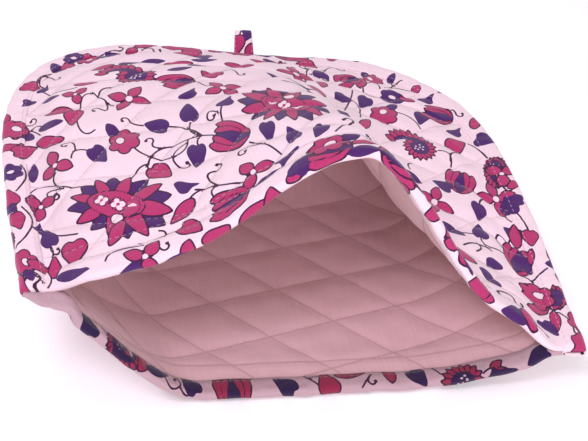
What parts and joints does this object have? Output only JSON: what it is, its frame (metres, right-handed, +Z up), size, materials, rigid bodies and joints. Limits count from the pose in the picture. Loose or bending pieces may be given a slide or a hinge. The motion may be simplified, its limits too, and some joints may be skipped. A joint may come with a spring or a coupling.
{
  "type": "tea cosy",
  "caption": "Quilted printed cotton tea cosy with bound edges and a hanging loop at the top, lying on its back panel with the mouth open.",
  "frame": {"origin": "centre of the bounding box's bottom, on the table", "axes": "+X to the right as the mouth is seen, +Y from the mouth to the closed top, +Z up from the table"},
  "size_m": [0.2922, 0.2716, 0.1183],
  "materials": {
    "printed_cotton": "printed cotton, quilted over wadding, with a plain cotton lining",
    "printed_binding": "printed cotton folded into a strip and topstitched"
  },
  "bodies": {
    "root": {"front_panel": "printed_cotton", "back_panel": "printed_cotton", "edge_binding": "printed_binding", "front_mouth_binding": "printed_binding", "back_mouth_binding": "printed_binding", "hanging_loop": "printed_binding"}
  },
  "joints": []
}
